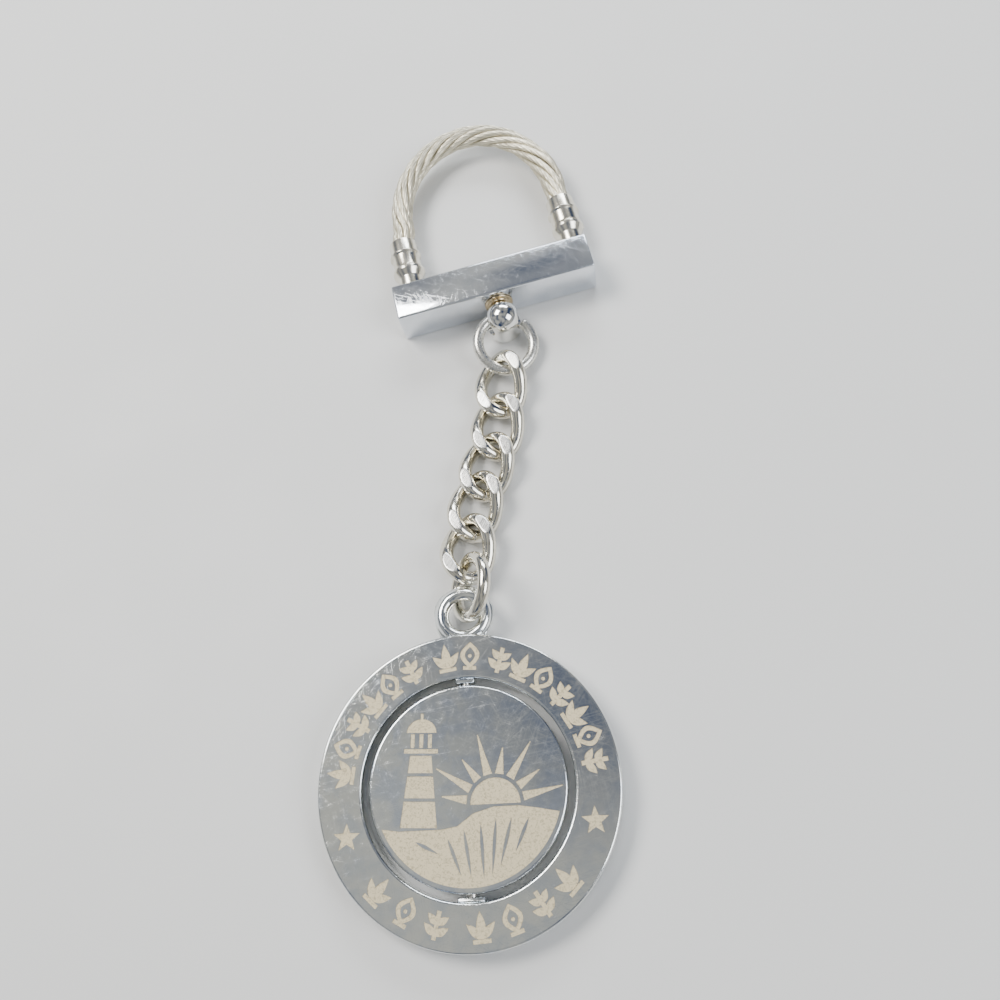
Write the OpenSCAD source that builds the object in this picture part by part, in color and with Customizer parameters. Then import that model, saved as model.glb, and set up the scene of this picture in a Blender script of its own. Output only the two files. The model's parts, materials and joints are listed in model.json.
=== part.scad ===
// Spinner-medal keychain with a wire-rope key loop, lying flat.
// +Z is up from the table, +Y runs from the medal to the key loop, +X is to the right.
// The origin is the middle of the object's footprint, on the table.

/* [Medal] */
// Outer diameter of the medal ring
medal_d = 38; // [36:0.5:40]
// Thickness of the medal ring and its disc
medal_t = 3; // [2.6:0.1:3.4]
// Diameter of the hole that the disc spins in
window_d = 26.7; // [26.2:0.1:27.2]
// Diameter of the spinner disc
disc_d = 24.8; // [24.2:0.1:25]
// Rounding of the medal's edges, as a bevel
medal_bevel = 0.3; // [0.15:0.05:0.5]
// Diameter of the pivot pins
pivot_d = 1.2; // [1:0.05:1.4]
// How far the medal's eye end is propped up by the ring under it, in degrees
medal_lift = 1.9; // [1.8:0.05:2.1]

/* [Eye] */
// Wire diameter of the eye cast on the medal ring
eye_wire = 1.7; // [1.5:0.05:1.8]
// Diameter of the eye's centre line
eye_ring_d = 5.7; // [5.6:0.1:5.9]
// Distance from the medal's centre to the eye's centre
eye_y = 21.8; // [21.6:0.05:22]

/* [Chain] */
// Wire diameter of a curb link
link_wire = 1.92; // [1.8:0.02:1.96]
// Outer length of a curb link
link_length = 10.6; // [10.5:0.05:10.7]
// Outer width of a curb link
link_width = 7.68; // [7.5:0.02:7.8]
// How far the twist lifts and drops the centre line
link_twist = 1.1; // [1.05:0.01:1.15]
// Thickness of the chain between its ground flats
chain_t = 3.6; // [3.4:0.05:3.8]

/* [Rings] */
// Wire diameter of the open ring in the swivel barrel
top_ring_wire = 1.6; // [1.4:0.05:1.7]
// Outer diameter of the open ring
top_ring_d = 9.8; // [9.7:0.05:9.9]
// Wire diameter of the ring between the chain and the eye
low_ring_wire = 1.7; // [1.5:0.05:1.7]
// Outer diameter of the ring between the chain and the eye
low_ring_d = 9.5; // [9.4:0.05:9.6]

/* [Grip bar] */
// Length of the bar
bar_l = 29.7; // [28:0.1:31]
// Depth of the bar, from the chain side to the cable side
bar_w = 5.76; // [5.5:0.02:6]
// Height of the bar
bar_h = 6.1; // [5.9:0.05:6.4]
// Bevel on the bar's edges
bar_bevel = 0.3; // [0.15:0.05:0.5]
// Turn of the bar, the swivel and the key loop from the medal's axis, in degrees
bar_turn = 11; // [8:0.5:14]

/* [Swivel] */
// Diameter of the barrel
barrel_d = 4.9; // [4.7:0.05:5]
// Overall height of the barrel
barrel_h = 6.1; // [5.9:0.05:6.4]
// Diameter of the cross hole that the open ring runs in
cross_hole_d = 3.5; // [3.45:0.05:3.6]
// Diameter of the swivel stem where it turns in the bar
stem_d = 2.4; // [2:0.05:2.6]

/* [Key loop] */
// Diameter of the wire rope
cable_d = 3.3; // [3.1:0.05:3.4]
// Half of the loop's inner span, between the rope's centre lines
loop_half_span = 12; // [11.5:0.1:12.5]
// Rise of the arch above the straight legs
loop_rise = 14.4; // [13:0.1:16]
// Outer diameter of the crimped sleeves
sleeve_d = 4.2; // [4:0.05:4.4]
// Outer diameter of the raised beads and flanges
flange_d = 4.8; // [4.6:0.05:5]

/* [Hidden] */
$fn = 64;

// Surface colours
nickel = [0.80, 0.79, 0.76];
warm_nickel = [0.78, 0.74, 0.64];
chrome = [0.83, 0.85, 0.88];
rope_steel = [0.80, 0.79, 0.74];
pin_steel = [0.62, 0.62, 0.62];

// Fits: a turning fit's gap all round, and the gap between faces that slide past each other
run_gap = 0.05;
face_gap = 0.08;

// The medal's centre, and the bar's centre from there
medal_at = [-1.02, -41.4];
bar_from_medal = [5.92, 71.65];
medal_r = medal_d / 2;

// Pads on the ring's inner wall that the pivot pins are pressed through, the mould line
// round the eye, and how far from the medal's centre a pin starts and ends
bottom_pad_w = 3.5;
top_pad_w = 2.6;
pad_t = 0.6;
pad_h = 2;
flash_t = 0.4;
flash_w = 0.3;
pin_in = 10.4;
pin_out = 18.4;
pin_hole_floor = 10.2;

// Chain: half its thickness, and where each link lies from the medal's centre as
// [x, y, turn], from the swivel down to the medal
chain_mid = chain_t / 2;
link_places = [
    [6.2, 55.75, -5],
    [5.4, 49.3, -9],
    [3.7, 43.3, -17],
    [1.9, 37.45, -14],
    [0.76, 31.1, -5]
];
// Lift, tip and roll of the first and the last link, which lean on the rings
first_link_lean = [0.16, 3, -6];
last_link_lean = [0.62, -9.3, 0];

// Rings: centre from the medal's centre, then turn, tip and roll; where the open ring's gap
// starts and how wide it is
top_ring_at = [7.2, 62.15, 2.58];
top_ring_lean = [0, 10, 15];
gap_from = 52;
gap_angle = 30;
low_ring_at = [1.14, 25.2, 4.02];
low_ring_lean = [6.2, -11.3, -53.2];

// Swivel, in the bar's own axes
barrel_gap = 0.65;
barrel_v = -(bar_w / 2 + barrel_gap + barrel_d / 2);
barrel_foot_r = 1.1;
stem_z = bar_h / 2;
neck_d = 3;
neck_flare_d = 4.2;
washer_d = 4;
washer_t = 0.5;
counterbore_d = 4.4;
counterbore_depth = 2;
stem_head_d = 3.2;
stem_head_t = 0.7;
stem_head_bevel = 0.3;
stem_spigot_d = 1.8;
spigot_wall = 0.1;
neck_in_barrel = 0.25;
flare_rim = 0.12;

// Ferrules, in the bar's own axes: place along the bar, and heights above its back face
left_u = -11.9;
right_u = 13;
ferrule_rim = 8.8;
ferrule_bead = 6.4;
ferrule_flange = 3.7;
bead_w = 0.35;
cone_l = 1.1;
ferrule_neck_d = 3.6;
stud_d = 2.6;
stud_l = 3.8;
rope_depth = 3;
spigot_d = 1.5;
spigot_head_d = 2.1;
spigot_head_t = 0.5;
spigot_l = 1.8;
loop_u = 0.85;
loop_lean = 0.3;
leg_v = 14.4;

// Mesh steps of the swept shapes
link_rings = 44;
wire_sides = 12;
rope_sides = 16;
arch_steps = 36;
leg_steps = 4;

// ---------- helpers ----------

function unit(v) = v / norm(v);

// A ring of points round p, square to the direction t
function ring_round(p, t, r, sides) =
    let (side = unit(cross(t, [0, 0, 1])), up = cross(side, t))
    [for (k = [0 : sides - 1]) let (a = 360 * k / sides) p + r * (cos(a) * side + sin(a) * up)];

// Triangles between rings of n points each; a closed loop joins the last ring to the first
function tube_faces(rings, n, closed) = [
    for (i = [0 : rings - (closed ? 1 : 2)], k = [0 : n - 1], half = [0, 1])
        let (
            j = (i + 1) % rings,
            m = (k + 1) % n,
            a = i * n + k, b = i * n + m, c = j * n + m, d = j * n + k
        )
        half == 0 ? [a, b, c] : [a, c, d]
];

function flat_list(lists) = [for (l = lists, p = l) p];

// A round bar along Z with bevelled ends
module bevelled_disc(d, t, bevel) {
    rotate_extrude($fn = 128)
        polygon([
            [0, 0], [d / 2 - bevel, 0], [d / 2, bevel],
            [d / 2, t - bevel], [d / 2 - bevel, t], [0, t]
        ]);
}

// A flat ring along Z with bevelled edges inside and out
module bevelled_ring(outer_d, inner_d, t, bevel) {
    rotate_extrude($fn = 128)
        polygon([
            [inner_d / 2 + bevel, 0], [outer_d / 2 - bevel, 0], [outer_d / 2, bevel],
            [outer_d / 2, t - bevel], [outer_d / 2 - bevel, t], [inner_d / 2 + bevel, t],
            [inner_d / 2, t - bevel], [inner_d / 2, bevel]
        ]);
}

// A rectangle with its corners cut off
module cut_corner_rect(w, h, bevel) {
    polygon([
        [-w / 2 + bevel, -h / 2], [w / 2 - bevel, -h / 2], [w / 2, -h / 2 + bevel], [w / 2, h / 2 - bevel],
        [w / 2 - bevel, h / 2], [-w / 2 + bevel, h / 2], [-w / 2, h / 2 - bevel], [-w / 2, -h / 2 + bevel]
    ]);
}

// A block centred on the origin with every edge bevelled
module bevelled_block(size, bevel) {
    intersection() {
        linear_extrude(size.z, center = true) cut_corner_rect(size.x, size.y, bevel);
        rotate([90, 0, 0]) linear_extrude(size.y, center = true) cut_corner_rect(size.x, size.z, bevel);
        rotate([90, 0, 90]) linear_extrude(size.x, center = true) cut_corner_rect(size.y, size.z, bevel);
    }
}

// A wire ring in the XY plane; sweep below 360 leaves it open
module wire_ring(outer_d, wire_d, from = 0, sweep = 360) {
    rotate([0, 0, from])
        rotate_extrude(angle = sweep, $fn = 96)
            translate([(outer_d - wire_d) / 2, 0]) circle(d = wire_d, $fn = 48);
}

// ---------- places ----------

// From the medal's own axes, with its underside at z = 0 and the disc's axis along Y
module in_medal() {
    translate([medal_at.x, medal_at.y - medal_r, 0])
        rotate([medal_lift, 0, 0])
            translate([0, medal_r, 0]) children();
}

// From the bar's own axes: u along the bar, v from the chain side to the loop, z up
module in_bar() {
    translate([medal_at.x + bar_from_medal.x, medal_at.y + bar_from_medal.y, 0])
        rotate([0, 0, bar_turn]) children();
}

// Turned pieces that stand square to the bar's back face, drawn along +Z from that face
module on_bar_back(u) {
    in_bar() translate([u, bar_w / 2, stem_z]) rotate([-90, 0, 0]) children();
}

// From a ring's or a link's own axes: its centre, from the medal's, then turn, tip and roll
module in_place(at, lean) {
    translate([medal_at.x + at.x, medal_at.y + at.y, at.z])
        rotate([0, 0, lean[0]]) rotate([lean[1], 0, 0]) rotate([0, lean[2], 0]) children();
}

// ---------- grip body ----------

module grip_bar() {
    color(chrome)
        difference() {
            in_bar() translate([0, 0, bar_h / 2]) bevelled_block([bar_l, bar_w, bar_h], bar_bevel);
            for (u = [left_u, right_u])
                on_bar_back(u) translate([0, 0, -stud_l - face_gap])
                    cylinder(d = stud_d + (u == right_u ? 2 * run_gap : 0), h = stud_l + face_gap + 1);
            on_bar_back(0) {
                translate([0, 0, -bar_w - 1]) cylinder(d = stem_d + 2 * run_gap, h = bar_w + 2);
                translate([0, 0, -counterbore_depth]) cylinder(d = counterbore_d, h = counterbore_depth + 1);
            }
        }
}

// The rope's centre line over the arch, from the left leg (180) to the right leg (0)
function arch_point(a) = [
    loop_u + loop_half_span * cos(a) + loop_lean * pow(sin(a), 2),
    leg_v + loop_rise * sin(a),
    stem_z
];

// The legs bend gently from the arch (s = 0) to the sleeves' rims (s = 1)
function leg_point(u_foot, u_arch, s) =
    let (v_rim = bar_w / 2 + ferrule_rim)
    [u_arch + (u_foot - u_arch) * pow(s, 2) * (3 - 2 * s), leg_v - (leg_v - v_rim) * s, stem_z];

// Where the rope ends inside a sleeve
function rope_end(u) = [u, bar_w / 2 + ferrule_rim - rope_depth, stem_z];

function rope_route() = concat(
    [rope_end(left_u)],
    [for (i = [0 : leg_steps - 1]) leg_point(left_u, arch_point(180).x, 1 - i / leg_steps)],
    [for (i = [0 : arch_steps]) arch_point(180 - 180 * i / arch_steps)],
    [for (i = [1 : leg_steps]) leg_point(right_u, arch_point(0).x, i / leg_steps)],
    [rope_end(right_u)]
);

module key_cable() {
    route = rope_route();
    last = len(route) - 1;
    rings = [
        for (i = [0 : last])
            let (t = i <= 1 ? [0, 1, 0] : i >= last - 1 ? [0, -1, 0] : unit(route[i + 1] - route[i - 1]))
            ring_round(route[i], t, cable_d / 2, rope_sides)
    ];
    caps = [
        [for (k = [0 : rope_sides - 1]) rope_sides - 1 - k],
        [for (k = [0 : rope_sides - 1]) last * rope_sides + k]
    ];
    color(rope_steel)
        in_bar() polyhedron(flat_list(rings), concat(tube_faces(last + 1, rope_sides, false), caps));
}

// Outline of the crimped sleeve, from the flange's upper side to the open rim
module sleeve_outline(foot) {
    r = sleeve_d / 2;
    big = flange_d / 2;
    polygon([
        [0, foot], [r, foot], [r, ferrule_bead - bead_w], [big, ferrule_bead], [r, ferrule_bead + bead_w],
        [r, ferrule_rim], [cable_d / 2, ferrule_rim], [cable_d / 2, ferrule_rim - rope_depth],
        [0, ferrule_rim - rope_depth]
    ]);
}

// Outline of the flange, its cone and the neck that stops at the seat, then the stud in the bar
module foot_outline(seat, top) {
    big = flange_d / 2;
    polygon([
        [0, -stud_l], [stud_d / 2, -stud_l], [stud_d / 2, seat], [ferrule_neck_d / 2, seat],
        [ferrule_neck_d / 2, ferrule_flange - cone_l - bead_w], [big, ferrule_flange - bead_w],
        [big, ferrule_flange], [sleeve_d / 2, top], [0, top]
    ]);
}

module left_ferrule() {
    top = ferrule_flange + bead_w;
    color(nickel)
        on_bar_back(left_u) rotate_extrude() {
            sleeve_outline(top);
            foot_outline(0, top);
        }
}

// The right sleeve ends in a headed spigot that the release collar turns on
module right_ferrule() {
    top = ferrule_flange + bead_w + face_gap;
    color(nickel)
        on_bar_back(right_u) {
            rotate_extrude() sleeve_outline(top);
            translate([0, 0, top - spigot_l - spigot_head_t]) {
                cylinder(d = spigot_d, h = spigot_l + spigot_head_t);
                cylinder(d = spigot_head_d, h = spigot_head_t);
            }
        }
}

module release_collar() {
    top = ferrule_flange + bead_w;
    head_top = top + face_gap - spigot_l;
    color(nickel)
        on_bar_back(right_u) difference() {
            rotate_extrude() foot_outline(face_gap, top);
            translate([0, 0, top - spigot_l - 1]) cylinder(d = spigot_d + 2 * run_gap, h = spigot_l + 2);
            translate([0, 0, head_top - spigot_head_t - face_gap])
                cylinder(d = spigot_head_d + 2 * run_gap, h = spigot_head_t + 2 * face_gap);
        }
}

// ---------- swivel ----------

module swivel_barrel() {
    r = barrel_d / 2;
    color(chrome)
        in_bar() translate([0, barrel_v, stem_z - barrel_h / 2]) difference() {
            union() {
                translate([0, 0, barrel_h - r]) sphere(d = barrel_d);
                translate([0, 0, barrel_foot_r]) cylinder(d = barrel_d, h = barrel_h - r - barrel_foot_r);
                rotate_extrude() {
                    square([r - barrel_foot_r, barrel_foot_r]);
                    intersection() {
                        translate([r - barrel_foot_r, barrel_foot_r]) circle(r = barrel_foot_r, $fn = 32);
                        square([r, barrel_foot_r]);
                    }
                }
            }
            translate([-r, 0, barrel_h / 2]) rotate([0, 90, 0]) translate([0, 0, -1])
                cylinder(d = cross_hole_d, h = barrel_d + 2);
            translate([0, 0, barrel_h / 2]) rotate([-90, 0, 0]) cylinder(d = stem_spigot_d, h = barrel_d);
        }
}

// Turned stem: a spigot in the barrel, a flared neck, a bearing length in the bar and a peened head
module swivel_stem() {
    seat = bar_w - counterbore_depth + face_gap;
    spigot_from = -(barrel_gap + barrel_d / 2 - cross_hole_d / 2 - spigot_wall);
    neck_from = neck_in_barrel - barrel_gap;
    color(warm_nickel)
        in_bar() translate([0, -bar_w / 2, stem_z]) rotate([-90, 0, 0]) rotate_extrude()
            polygon([
                [0, spigot_from], [stem_spigot_d / 2, spigot_from], [stem_spigot_d / 2, neck_from],
                [neck_d / 2, neck_from], [neck_flare_d / 2, -face_gap - flare_rim],
                [neck_flare_d / 2, -face_gap], [stem_d / 2, -face_gap], [stem_d / 2, seat + washer_t],
                [stem_head_d / 2, seat + washer_t],
                [stem_head_d / 2 - stem_head_bevel, seat + washer_t + stem_head_t],
                [0, seat + washer_t + stem_head_t]
            ]);
}

module swivel_washer() {
    seat = bar_w - counterbore_depth + face_gap;
    color(pin_steel)
        in_bar() translate([0, -bar_w / 2 + seat, stem_z]) rotate([-90, 0, 0])
            difference() {
                cylinder(d = washer_d, h = washer_t);
                translate([0, 0, -1]) cylinder(d = stem_d, h = washer_t + 2);
            }
}

// ---------- chain ----------

// Open ring: its gap lies just to the right of the barrel
module top_ring() {
    color(nickel)
        in_place(top_ring_at, top_ring_lean)
            wire_ring(top_ring_d, top_ring_wire, gap_from + gap_angle, 360 - gap_angle);
}

// Centre line of a curb link: an oval whose upper right and lower left are lifted by the twist
function link_point(t) = [
    (link_width - link_wire) / 2 * sin(t),
    (link_length - link_wire) / 2 * cos(t),
    link_twist * sin(2 * t)
];

// The wire's round section, ground flat above and below
function link_section(t) =
    let (
        ahead = unit(link_point(t + 0.5) - link_point(t - 0.5)),
        round_wire = ring_round(link_point(t), ahead, link_wire / 2, wire_sides)
    )
    [for (p = round_wire) [p.x, p.y, max(-chain_mid, min(chain_mid, p.z))]];

module curb_link(n) {
    place = link_places[n];
    lean = n == 0 ? first_link_lean : n == len(link_places) - 1 ? last_link_lean : [0, 0, 0];
    sections = [for (i = [0 : link_rings - 1]) link_section(360 * i / link_rings)];
    color(warm_nickel)
        in_place([place.x, place.y, chain_mid + lean[0]], [place[2], lean[1], lean[2]])
            polyhedron(flat_list(sections), tube_faces(link_rings, wire_sides, true));
}

module lower_ring() {
    color(warm_nickel) in_place(low_ring_at, low_ring_lean) wire_ring(low_ring_d, low_ring_wire);
}

// ---------- medal ----------

// Cast in one piece: flat ring, two pivot pads on its inner wall, and the eye with its mould line
module medal_ring() {
    window_r = window_d / 2;
    color(chrome)
        in_medal() difference() {
            union() {
                bevelled_ring(medal_d, window_d, medal_t, medal_bevel);
                for (side = [[1, top_pad_w], [-1, bottom_pad_w]])
                    translate([-side[1] / 2, side[0] > 0 ? window_r - pad_t : -window_r - 1,
                               (medal_t - pad_h) / 2])
                        cube([side[1], pad_t + 1, pad_h]);
                translate([0, eye_y, medal_t / 2]) {
                    wire_ring(eye_ring_d + eye_wire, eye_wire);
                    difference() {
                        cylinder(d = eye_ring_d + eye_wire + 2 * flash_w, h = flash_t, center = true);
                        cylinder(d = eye_ring_d, h = flash_t + 1, center = true);
                        translate([-eye_ring_d, -3 * eye_ring_d + medal_r - eye_y - 1, -flash_t])
                            cube([2 * eye_ring_d, 3 * eye_ring_d, 2 * flash_t]);
                    }
                }
            }
            translate([0, -medal_r - 1, medal_t / 2]) rotate([-90, 0, 0]) cylinder(d = pivot_d, h = medal_r);
            translate([0, window_r - 2, medal_t / 2]) rotate([-90, 0, 0])
                cylinder(d = pivot_d, h = eye_y - window_r + 2);
        }
}

module spinner_disc() {
    color(chrome)
        in_medal() difference() {
            bevelled_disc(disc_d, medal_t, medal_bevel);
            for (turn = [0, 180])
                translate([0, 0, medal_t / 2]) rotate([-90, 0, turn])
                    translate([0, 0, pin_hole_floor]) cylinder(d = pivot_d + 2 * run_gap, h = disc_d);
        }
}

module pivot_pin(turn) {
    color(pin_steel)
        in_medal() translate([0, 0, medal_t / 2]) rotate([-90, 0, turn])
            translate([0, 0, pin_in]) cylinder(d = pivot_d, h = pin_out - pin_in);
}

module top_pivot_pin() {
    pivot_pin(0);
}

module bottom_pivot_pin() {
    pivot_pin(180);
}

grip_bar();
key_cable();
left_ferrule();
right_ferrule();
release_collar();
swivel_barrel();
swivel_stem();
swivel_washer();
top_ring();
curb_link(0);  // link_1
curb_link(1);  // link_2
curb_link(2);  // link_3
curb_link(3);  // link_4
curb_link(4);  // link_5
lower_ring();
medal_ring();
spinner_disc();
top_pivot_pin();
bottom_pivot_pin();
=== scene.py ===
"""Looks of the spinner-medal keychain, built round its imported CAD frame. Shapes are in millimetres."""
import json
import math
import random

import bmesh
import bpy
import numpy as np
from mathutils import Matrix, Vector
from mathutils.geometry import delaunay_2d_cdt


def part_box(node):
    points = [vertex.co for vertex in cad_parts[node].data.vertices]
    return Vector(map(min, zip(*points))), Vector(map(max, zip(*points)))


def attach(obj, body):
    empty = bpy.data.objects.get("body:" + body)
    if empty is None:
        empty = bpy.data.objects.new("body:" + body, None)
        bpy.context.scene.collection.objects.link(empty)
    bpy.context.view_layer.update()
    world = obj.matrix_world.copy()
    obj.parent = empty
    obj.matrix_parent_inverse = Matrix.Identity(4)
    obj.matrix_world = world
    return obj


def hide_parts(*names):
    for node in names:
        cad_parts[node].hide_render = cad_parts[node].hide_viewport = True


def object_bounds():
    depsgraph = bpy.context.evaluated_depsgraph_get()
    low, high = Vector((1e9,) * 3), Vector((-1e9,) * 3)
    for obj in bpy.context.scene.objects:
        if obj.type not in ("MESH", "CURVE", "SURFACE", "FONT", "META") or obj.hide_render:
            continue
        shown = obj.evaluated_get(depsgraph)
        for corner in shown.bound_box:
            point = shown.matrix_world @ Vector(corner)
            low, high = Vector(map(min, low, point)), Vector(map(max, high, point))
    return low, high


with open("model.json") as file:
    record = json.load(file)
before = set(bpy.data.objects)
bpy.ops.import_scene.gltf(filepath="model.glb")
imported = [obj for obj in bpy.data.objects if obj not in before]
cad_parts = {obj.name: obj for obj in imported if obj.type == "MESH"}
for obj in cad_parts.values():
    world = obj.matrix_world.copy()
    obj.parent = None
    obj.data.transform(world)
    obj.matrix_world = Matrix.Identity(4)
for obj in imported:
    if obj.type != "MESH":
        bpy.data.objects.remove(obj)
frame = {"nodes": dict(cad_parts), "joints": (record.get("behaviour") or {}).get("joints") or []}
cad_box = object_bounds()

MM = 0.001
WELD = 5e-7

# Camera, in mm: where it stands, and its right, up and back directions
CAMERA_AT = (19.27, -54.61, 130.09)
CAMERA_RIGHT = (0.99065, -0.03806, -0.13101)
CAMERA_UP = (0.08345, 0.92875, 0.36120)
CAMERA_BACK = (0.10793, -0.36875, 0.92324)
CAMERA_LENS = 36.25

# Medal, from its centre, with z up from its mid-plane
MEDAL_R = 19.0
MEDAL_T = 3.0
WINDOW_R = 13.35
DISC_R = 12.4
EDGE_R = 0.3
ETCH_DEPTH = 0.05
EYE_Y = 21.8
EYE_R = 2.85
EYE_WIRE_R = 0.85
PAD_T = 0.6
PAD_H = 2.0
PAD_EDGE_R = 0.35
TOP_PAD_W = 2.6
BOTTOM_PAD_W = 3.5
ROUND_STEPS = 240
EDGE_STEPS = 5
EYE_STEPS = 160

# Chain link: wire, half length and half width of its centre line, twist and half thickness
LINK_WIRE_R = 0.96
LINK_HALF_L = 4.34
LINK_HALF_W = 2.88
LINK_TWIST = 1.1
LINK_MID = 1.8
LINK_STEPS = 220
SEAM_AT = 171
SEAM_STEP = 0.014
# Turn, tip and roll of each link, from the swivel to the medal
LINK_LEANS = ((-5, 3, -6), (-9, 0, 0), (-17, 0, 0), (-14, 0, 0), (-5, -9.3, 0))

# Rings
TOP_RING_R = 4.1
TOP_RING_WIRE_R = 0.8
TOP_RING_GAP = (52, 82)
LOW_RING_R = 3.9
LOW_RING_WIRE_R = 0.85
RING_STEPS = 150
RING_CUT_R = 0.72

# Grip bar and swivel, from the bar's centre: u along the bar, v to the loop, z up
BAR = (29.7, 5.76, 6.1)
BARREL_R = 2.45
BARREL_H = 6.1
BARREL_V = -5.98
BARREL_FOOT_R = 1.1
CROSS_HOLE_R = 1.75
STEM_BORE_R = 1.25
COUNTERBORE_R = 2.2
COUNTERBORE_DEPTH = 2.0
FACE_GAP = 0.08
RUN_GAP = 0.05
BAR_EDGE_R = 0.32
STEM_R = 1.2
STEM_SPIGOT_R = 0.9
NECK_FRONT_R = 1.5
NECK_FLARE_R = 2.1
NECK_FRONT_V = -0.42
STEM_FROM_V = -0.6
STEM_SEAT_V = 4.34
STEM_HEAD_R = 1.6
STEM_END_V = 5.04

# Ferrules: place along the bar, heights above its back face, and radii
LEFT_U = -11.9
RIGHT_U = 13.0
RIM_Z = 8.8
BEAD_Z = 6.4
FLANGE_Z = 3.7
FOOT_TOP_Z = 4.05
STUD_L = 3.8
STUD_R = 1.3
SPIGOT_R = 0.75
SPIGOT_L = 1.8
SPIGOT_HEAD_R = 1.05
SPIGOT_HEAD_T = 0.5
SLEEVE_R = 2.1
FLANGE_R = 2.4
NECK_R = 1.8
BEAD_R = 2.38
ROPE_DEPTH = 3.0

# Wire rope: its route over the bar, its strands and their lay
ROPE_R = 1.65
LOOP_U = 0.85
LOOP_HALF_SPAN = 12.0
LOOP_RISE = 14.4
LOOP_LEAN = 0.3
LEG_V = 14.4
STRANDS = 8
STRAND_R = 0.46
STRAND_LAY = 27.0
STRAND_WIRES = 9
WIRE_LAY = 9.0
ROPE_STEP = 0.3
LOOSE_AT = 0.80
LOOSE_SPAN = 0.085
LOOSE_BULGE = 0.42

# Floor
FLOOR_HALF = 900


# ---------- frames ----------

def axes(origin, x, y, z):
    """A matrix that takes points from the given axes to the row frame, in mm."""
    return Matrix((
        (x[0], y[0], z[0], origin[0]),
        (x[1], y[1], z[1], origin[1]),
        (x[2], y[2], z[2], origin[2]),
        (0, 0, 0, 1),
    ))


def joint(name):
    """A joint's place, in mm, and its axis."""
    found = next(j for j in frame["joints"] if j["name"] == name)
    return Vector(found["pos_m"]) / MM, Vector(found["axis"]).normalized()


def ring_frame(name):
    """Axes of a ring whose centre and normal are a joint's: x is as near to the row's X as it can be."""
    centre, normal = joint(name)
    x = (Vector((1, 0, 0)) - normal.x * normal).normalized()
    return axes(centre, x, normal.cross(x), normal)


def bar_frame():
    """Axes of the grip bar, from the joint that the swivel turns on."""
    centre, v = joint("swivel_turn")
    up = Vector((0, 0, 1))
    return axes(centre, v.cross(up), v, up)


def medal_frame():
    """Axes of the medal, from the joint that the disc spins on."""
    centre, y = joint("disc_spin")
    x = Vector((1, 0, 0))
    return axes(centre, x, y, x.cross(y))


def link_frame(index):
    """Axes of a chain link: its centre is its CAD box's, because a link is symmetric about it."""
    low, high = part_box(f"link_{index + 1}")
    turn, tip, roll = (math.radians(a) for a in LINK_LEANS[index])
    spin = Matrix.Rotation(turn, 4, "Z") @ Matrix.Rotation(tip, 4, "X") @ Matrix.Rotation(roll, 4, "Y")
    return Matrix.Translation((low + high) / 2 / MM) @ spin


def back_face_frame(u):
    """Axes of a turned piece on the bar's back face: its z is the bar's v."""
    local = Matrix(((1, 0, 0, u), (0, 0, 1, BAR[1] / 2), (0, -1, 0, 0), (0, 0, 0, 1)))
    return bar_frame() @ local


# ---------- shapes ----------

class Shape:
    """Vertices and faces being put together; each face has a smooth flag and a material number."""

    def __init__(self):
        self.verts = []
        self.faces = []
        self.smooth = []
        self.finish = []

    def add(self, verts, faces, smooth=True, finish=0):
        start = len(self.verts)
        self.verts.extend(tuple(v) for v in verts)
        self.faces.extend(tuple(start + i for i in f) for f in faces)
        self.smooth.extend([smooth] * len(faces))
        self.finish.extend([finish] * len(faces))
        return self

    def grid(self, rings, closed=False, caps=True, smooth=True, finish=0):
        """Skin over rings of points, each ring closed on itself; closed joins the last to the first."""
        rings = np.asarray(rings, float)
        count, around = rings.shape[:2]
        faces = []
        for i in range(count if closed else count - 1):
            a, b = i * around, (i + 1) % count * around
            for k in range(around):
                m = (k + 1) % around
                faces.append((a + k, a + m, b + m, b + k))
        if caps and not closed:
            faces.append(tuple(range(around - 1, -1, -1)))
            faces.append(tuple((count - 1) * around + k for k in range(around)))
        return self.add(rings.reshape(-1, 3), faces, smooth, finish)


def filleted(corners, steps=5):
    """The outline through corners (x, y, radius), each rounded to its radius."""
    points = []
    for before, here, after in zip(corners[-1:] + corners[:-1], corners, corners[1:] + corners[:1]):
        p = np.array(here[:2], float)
        if here[2] <= 0:
            points.append(tuple(p))
            continue
        a = np.array(before[:2], float) - p
        b = np.array(after[:2], float) - p
        a, b = a / np.linalg.norm(a), b / np.linalg.norm(b)
        half = math.acos(max(-1, min(1, float(a @ b)))) / 2
        cut = here[2] / math.tan(half)
        centre = p + (a + b) / np.linalg.norm(a + b) * here[2] / math.sin(half)
        start, end = p + a * cut - centre, p + b * cut - centre
        sweep = math.pi - 2 * half
        for k in range(steps + 1):
            s = k / steps
            w = (math.sin((1 - s) * sweep) * start + math.sin(s * sweep) * end) / math.sin(sweep)
            points.append(tuple(centre + w))
    return points


def lathe(shape, outline, segments=96, finish=0):
    """Revolve an open outline of (radius, z), whose ends are on the axis, round z."""
    inner = outline[1:-1]
    rings = []
    for k in range(segments):
        a = 2 * math.pi * k / segments
        rings.append([(r * math.cos(a), r * math.sin(a), z) for r, z in inner])
    verts = [p for ring in rings for p in ring] + [(0, 0, outline[0][1]), (0, 0, outline[-1][1])]
    rows = len(inner)
    first, last = segments * rows, segments * rows + 1
    faces = []
    for k in range(segments):
        a, b = k * rows, (k + 1) % segments * rows
        for i in range(rows - 1):
            faces.append((a + i, b + i, b + i + 1, a + i + 1))
        faces.append((first, b, a))
        faces.append((last, a + rows - 1, b + rows - 1))
    return shape.add(verts, faces, True, finish)


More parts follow.
